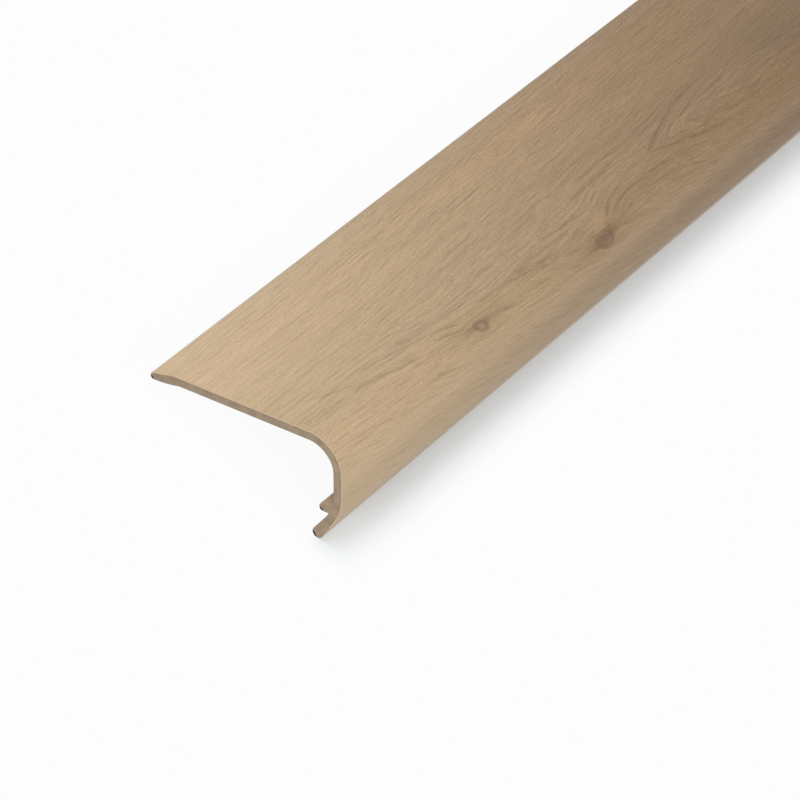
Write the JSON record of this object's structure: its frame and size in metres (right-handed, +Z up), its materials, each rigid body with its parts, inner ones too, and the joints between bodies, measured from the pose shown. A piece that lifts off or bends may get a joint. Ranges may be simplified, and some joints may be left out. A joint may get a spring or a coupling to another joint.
{
  "type": "overlapping stair nosing",
  "caption": "Long extruded wood-look vinyl stair nosing with a flat plate, rounded nose, hooked front and a sloping back lip that laps over the floor.",
  "frame": {"origin": "on the floor, at the centre of the footprint", "axes": "+X along the length, -Y towards the rounded nose, +Z up; the plate slopes down to the back because the piece lies on its back lip and its lower lip"},
  "size_m": [1.2, 0.0574, 0.0265],
  "materials": {
    "oak_vinyl": "matte light-oak printed film over plain grey-brown rigid vinyl"
  },
  "bodies": {
    "root": {"stair_nosing": "oak_vinyl"}
  },
  "joints": []
}
